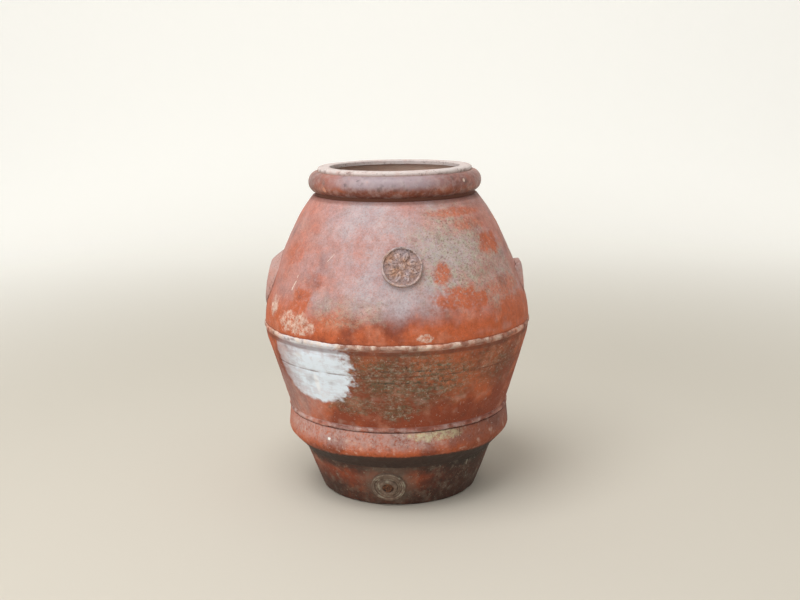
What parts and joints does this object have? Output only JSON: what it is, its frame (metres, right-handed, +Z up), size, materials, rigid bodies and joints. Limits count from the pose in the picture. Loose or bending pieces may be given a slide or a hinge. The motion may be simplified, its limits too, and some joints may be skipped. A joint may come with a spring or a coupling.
{
  "type": "terracotta storage jar",
  "caption": "Large round terracotta storage jar with applied bands, ears, a rosette seal and a plugged tap boss, used as a floor planter.",
  "frame": {"origin": "centre of the foot, on the ground", "axes": "+Z up along the jar's axis; -Y towards the front, where the seal and the tap are; +X towards the right ear"},
  "size_m": [0.826, 0.826, 1],
  "materials": {
    "shoulder_clay": "fired clay, chalky bloom and lichen",
    "belly_clay": "fired clay, orange red under pale crust and lichen",
    "roll_clay": "fired clay, orange salmon with lichen",
    "foot_clay": "fired clay, damp and blackened by soil",
    "rim_clay": "fired clay, dark brown red with a grey sheen",
    "lip_clay": "fired clay, grey pink and dusty",
    "boss_clay": "fired clay, grey green with lichen",
    "bung_wood": "turned wood, reddish brown and weathered"
  },
  "bodies": {
    "jar": {"base_slab": "foot_clay", "foot_wall": "foot_clay", "lower_wall": "belly_clay", "belly_wall": "belly_clay", "shoulder_wall": "shoulder_clay", "neck_collar": "rim_clay", "rim_roll": "rim_clay", "mouth_lip": "lip_clay", "lower_roll": "roll_clay", "lower_bead": "belly_clay", "girth_bead": "belly_clay", "rosette_seal": "shoulder_clay", "right_ear": "shoulder_clay", "left_ear": "shoulder_clay", "tap_boss": "boss_clay"},
    "bung": {"tap_bung": "bung_wood"}
  },
  "joints": [
    {"name": "bung_pull", "type": "slide", "parent": "jar", "child": "bung", "axis": [-0.1142, -0.9301, -0.3491], "range_m": [0, 0.08]}
  ]
}
